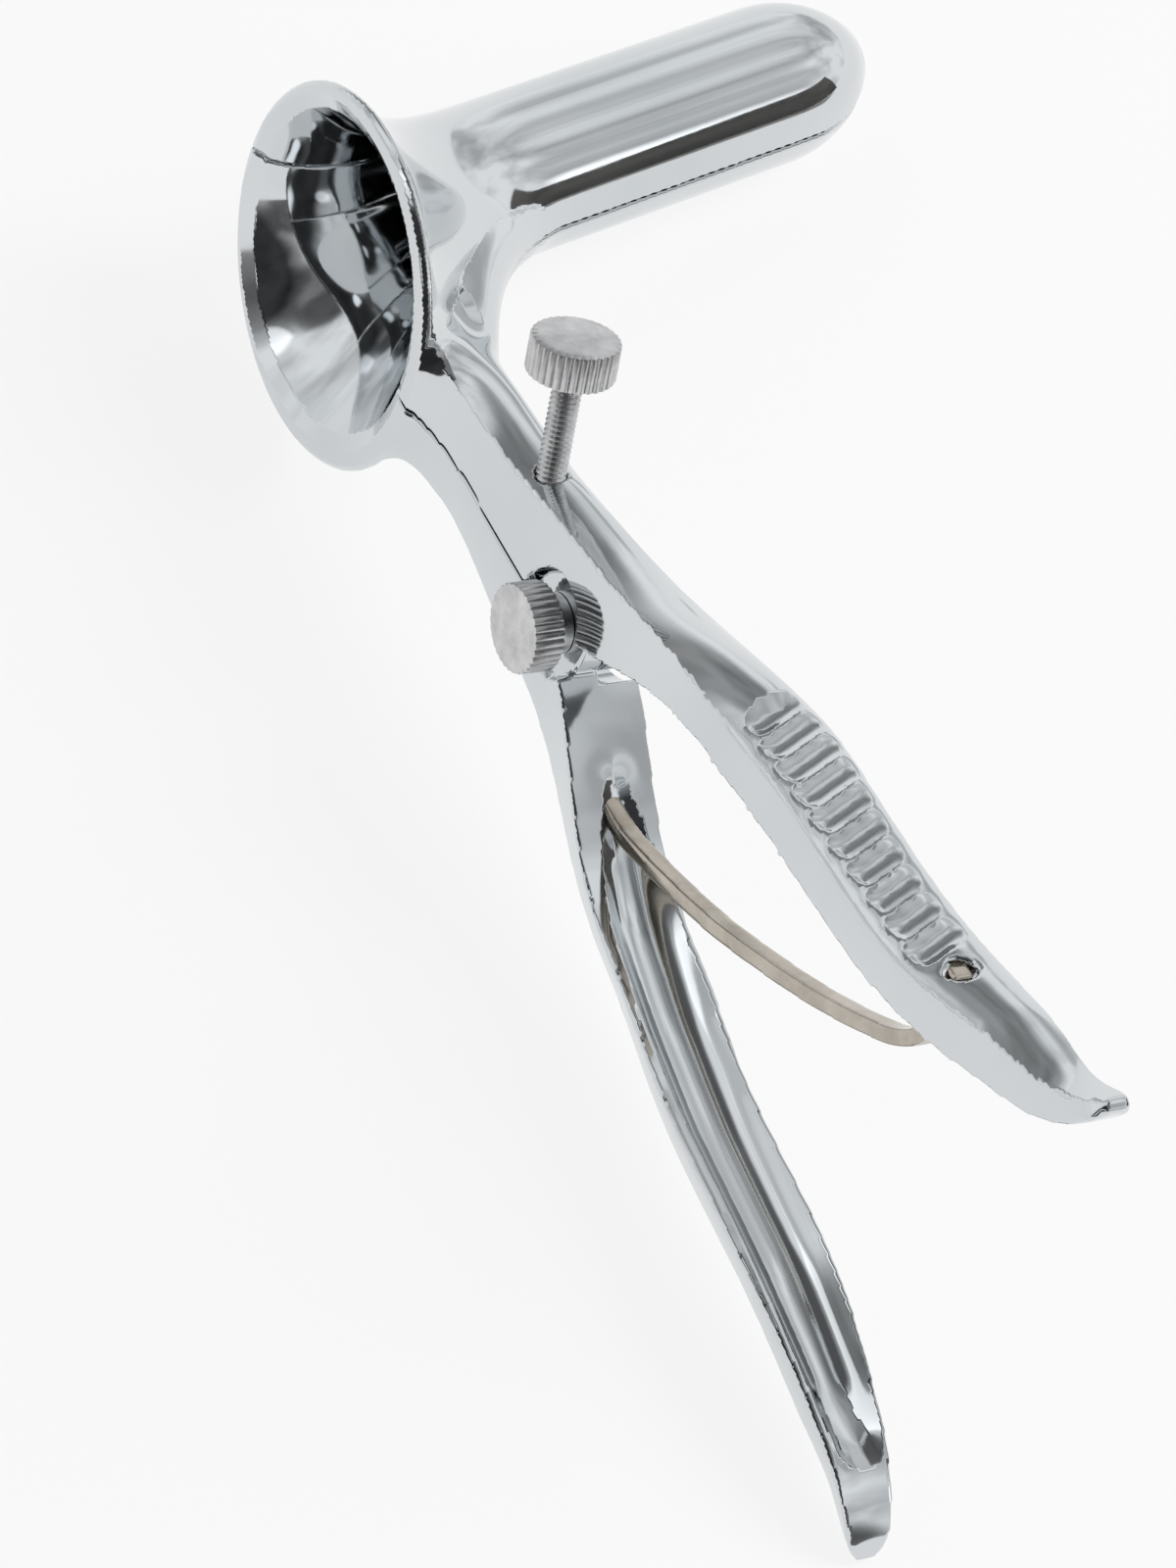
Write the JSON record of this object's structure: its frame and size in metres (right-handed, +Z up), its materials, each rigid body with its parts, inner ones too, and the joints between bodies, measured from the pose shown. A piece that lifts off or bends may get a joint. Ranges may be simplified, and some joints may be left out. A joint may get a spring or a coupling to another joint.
{
  "type": "anal speculum",
  "caption": "Hinged metal speculum with a round funnel mouth and slanted blunt tube, squeezed open by channelled, fluted levers against a bowed spring and held by a set screw.",
  "frame": {"origin": "centre of the bounding box's bottom, on the table that the instrument lies on", "axes": "+Z up from the table; +Y from the handles to the mouth; +X from the mouth towards the tube's blunt end. The instrument lies on its left valve, set screw up."},
  "size_m": [0.1026, 0.2242, 0.0875],
  "materials": {
    "polished_plate": "polished",
    "turned_steel": "satin, straight knurled",
    "spring_steel": "drawn, lightly polished",
    "braze": "as melted"
  },
  "bodies": {
    "left_half": {"left_valve": "polished_plate", "handle_spring": "spring_steel", "spring_braze": "braze"},
    "right_half": {"right_valve": "polished_plate"},
    "pivot": {"pivot_screw": "turned_steel"},
    "stop": {"set_screw": "turned_steel"}
  },
  "joints": [
    {"name": "valve_pivot", "type": "hinge", "parent": "left_half", "child": "right_half", "pos_m": [-0.03828, 0.00928, 0.03136], "axis": [0.9903, 0, -0.139], "range_deg": [0, 28], "stiffness_Nm_per_rad": 0.5, "springref_deg": -22.92, "deforming": ["handle_spring"]},
    {"name": "pivot_turn", "type": "hinge", "parent": "right_half", "child": "pivot", "pos_m": [-0.03828, 0.00928, 0.03136], "axis": [0.9903, 0, -0.139], "continuous": true},
    {"name": "set_screw_feed", "type": "slide", "parent": "right_half", "child": "stop", "axis": [0.1286, 0.379, 0.9164], "range_m": [0, 0.005]}
  ]
}
